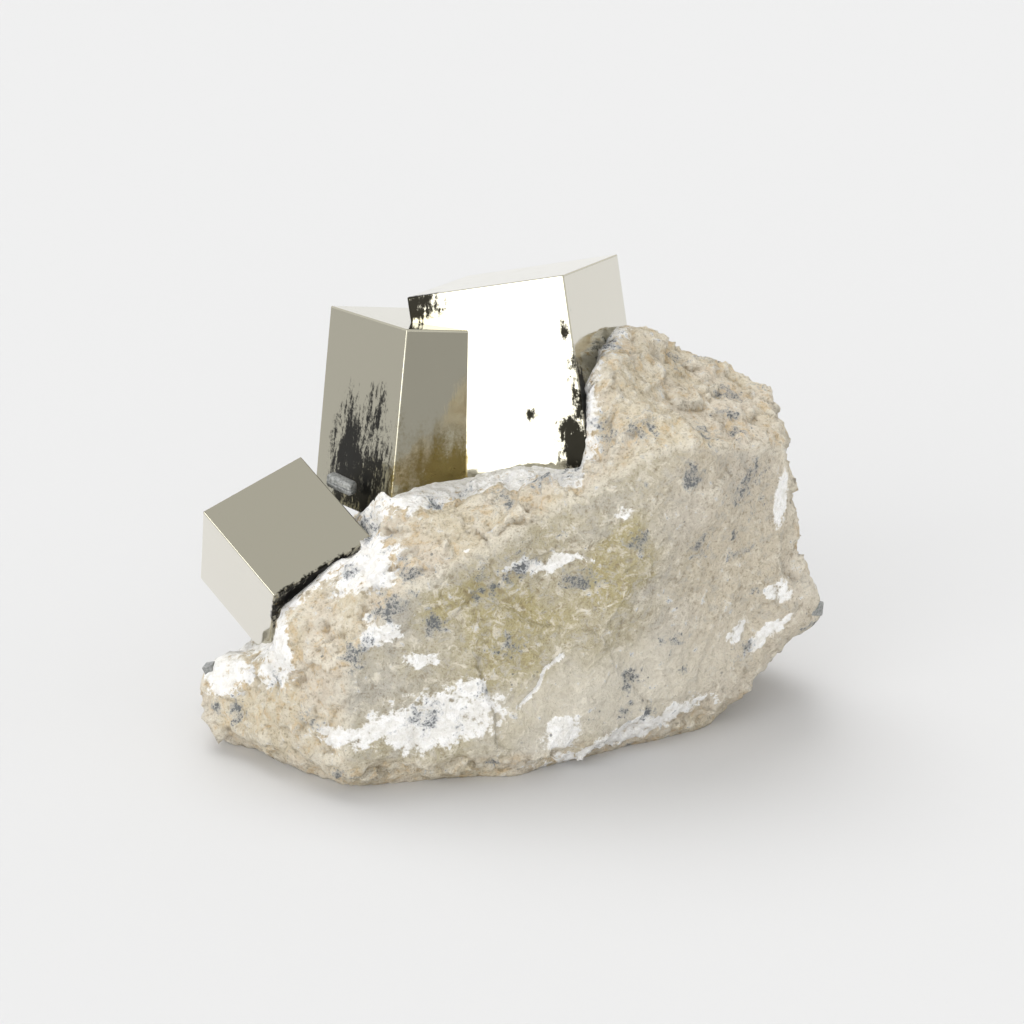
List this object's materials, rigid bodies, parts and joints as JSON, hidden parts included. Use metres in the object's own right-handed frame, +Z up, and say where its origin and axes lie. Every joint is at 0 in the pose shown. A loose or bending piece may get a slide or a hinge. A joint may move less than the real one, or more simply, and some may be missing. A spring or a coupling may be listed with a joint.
{
  "type": "pyrite specimen",
  "caption": "Bright cubic pyrite crystals, single and intergrown, standing in a loose block of pale marl with a flat base.",
  "frame": {"origin": "on the flat base, under the middle of the specimen's bounding box", "axes": "+Z up from the base, +X along the specimen's length towards the thick end, +Y from the broken front face to the back"},
  "size_m": [0.1016, 0.0666, 0.0771],
  "materials": {
    "marl": "matte",
    "pyrite": "polished",
    "dull_pyrite": "satin"
  },
  "bodies": {
    "root": {"matrix": "marl", "left_cube": "pyrite", "twin_crystals": "pyrite", "small_tablet": "dull_pyrite", "right_edge_cube": "dull_pyrite", "left_edge_cube": "dull_pyrite"}
  },
  "joints": []
}
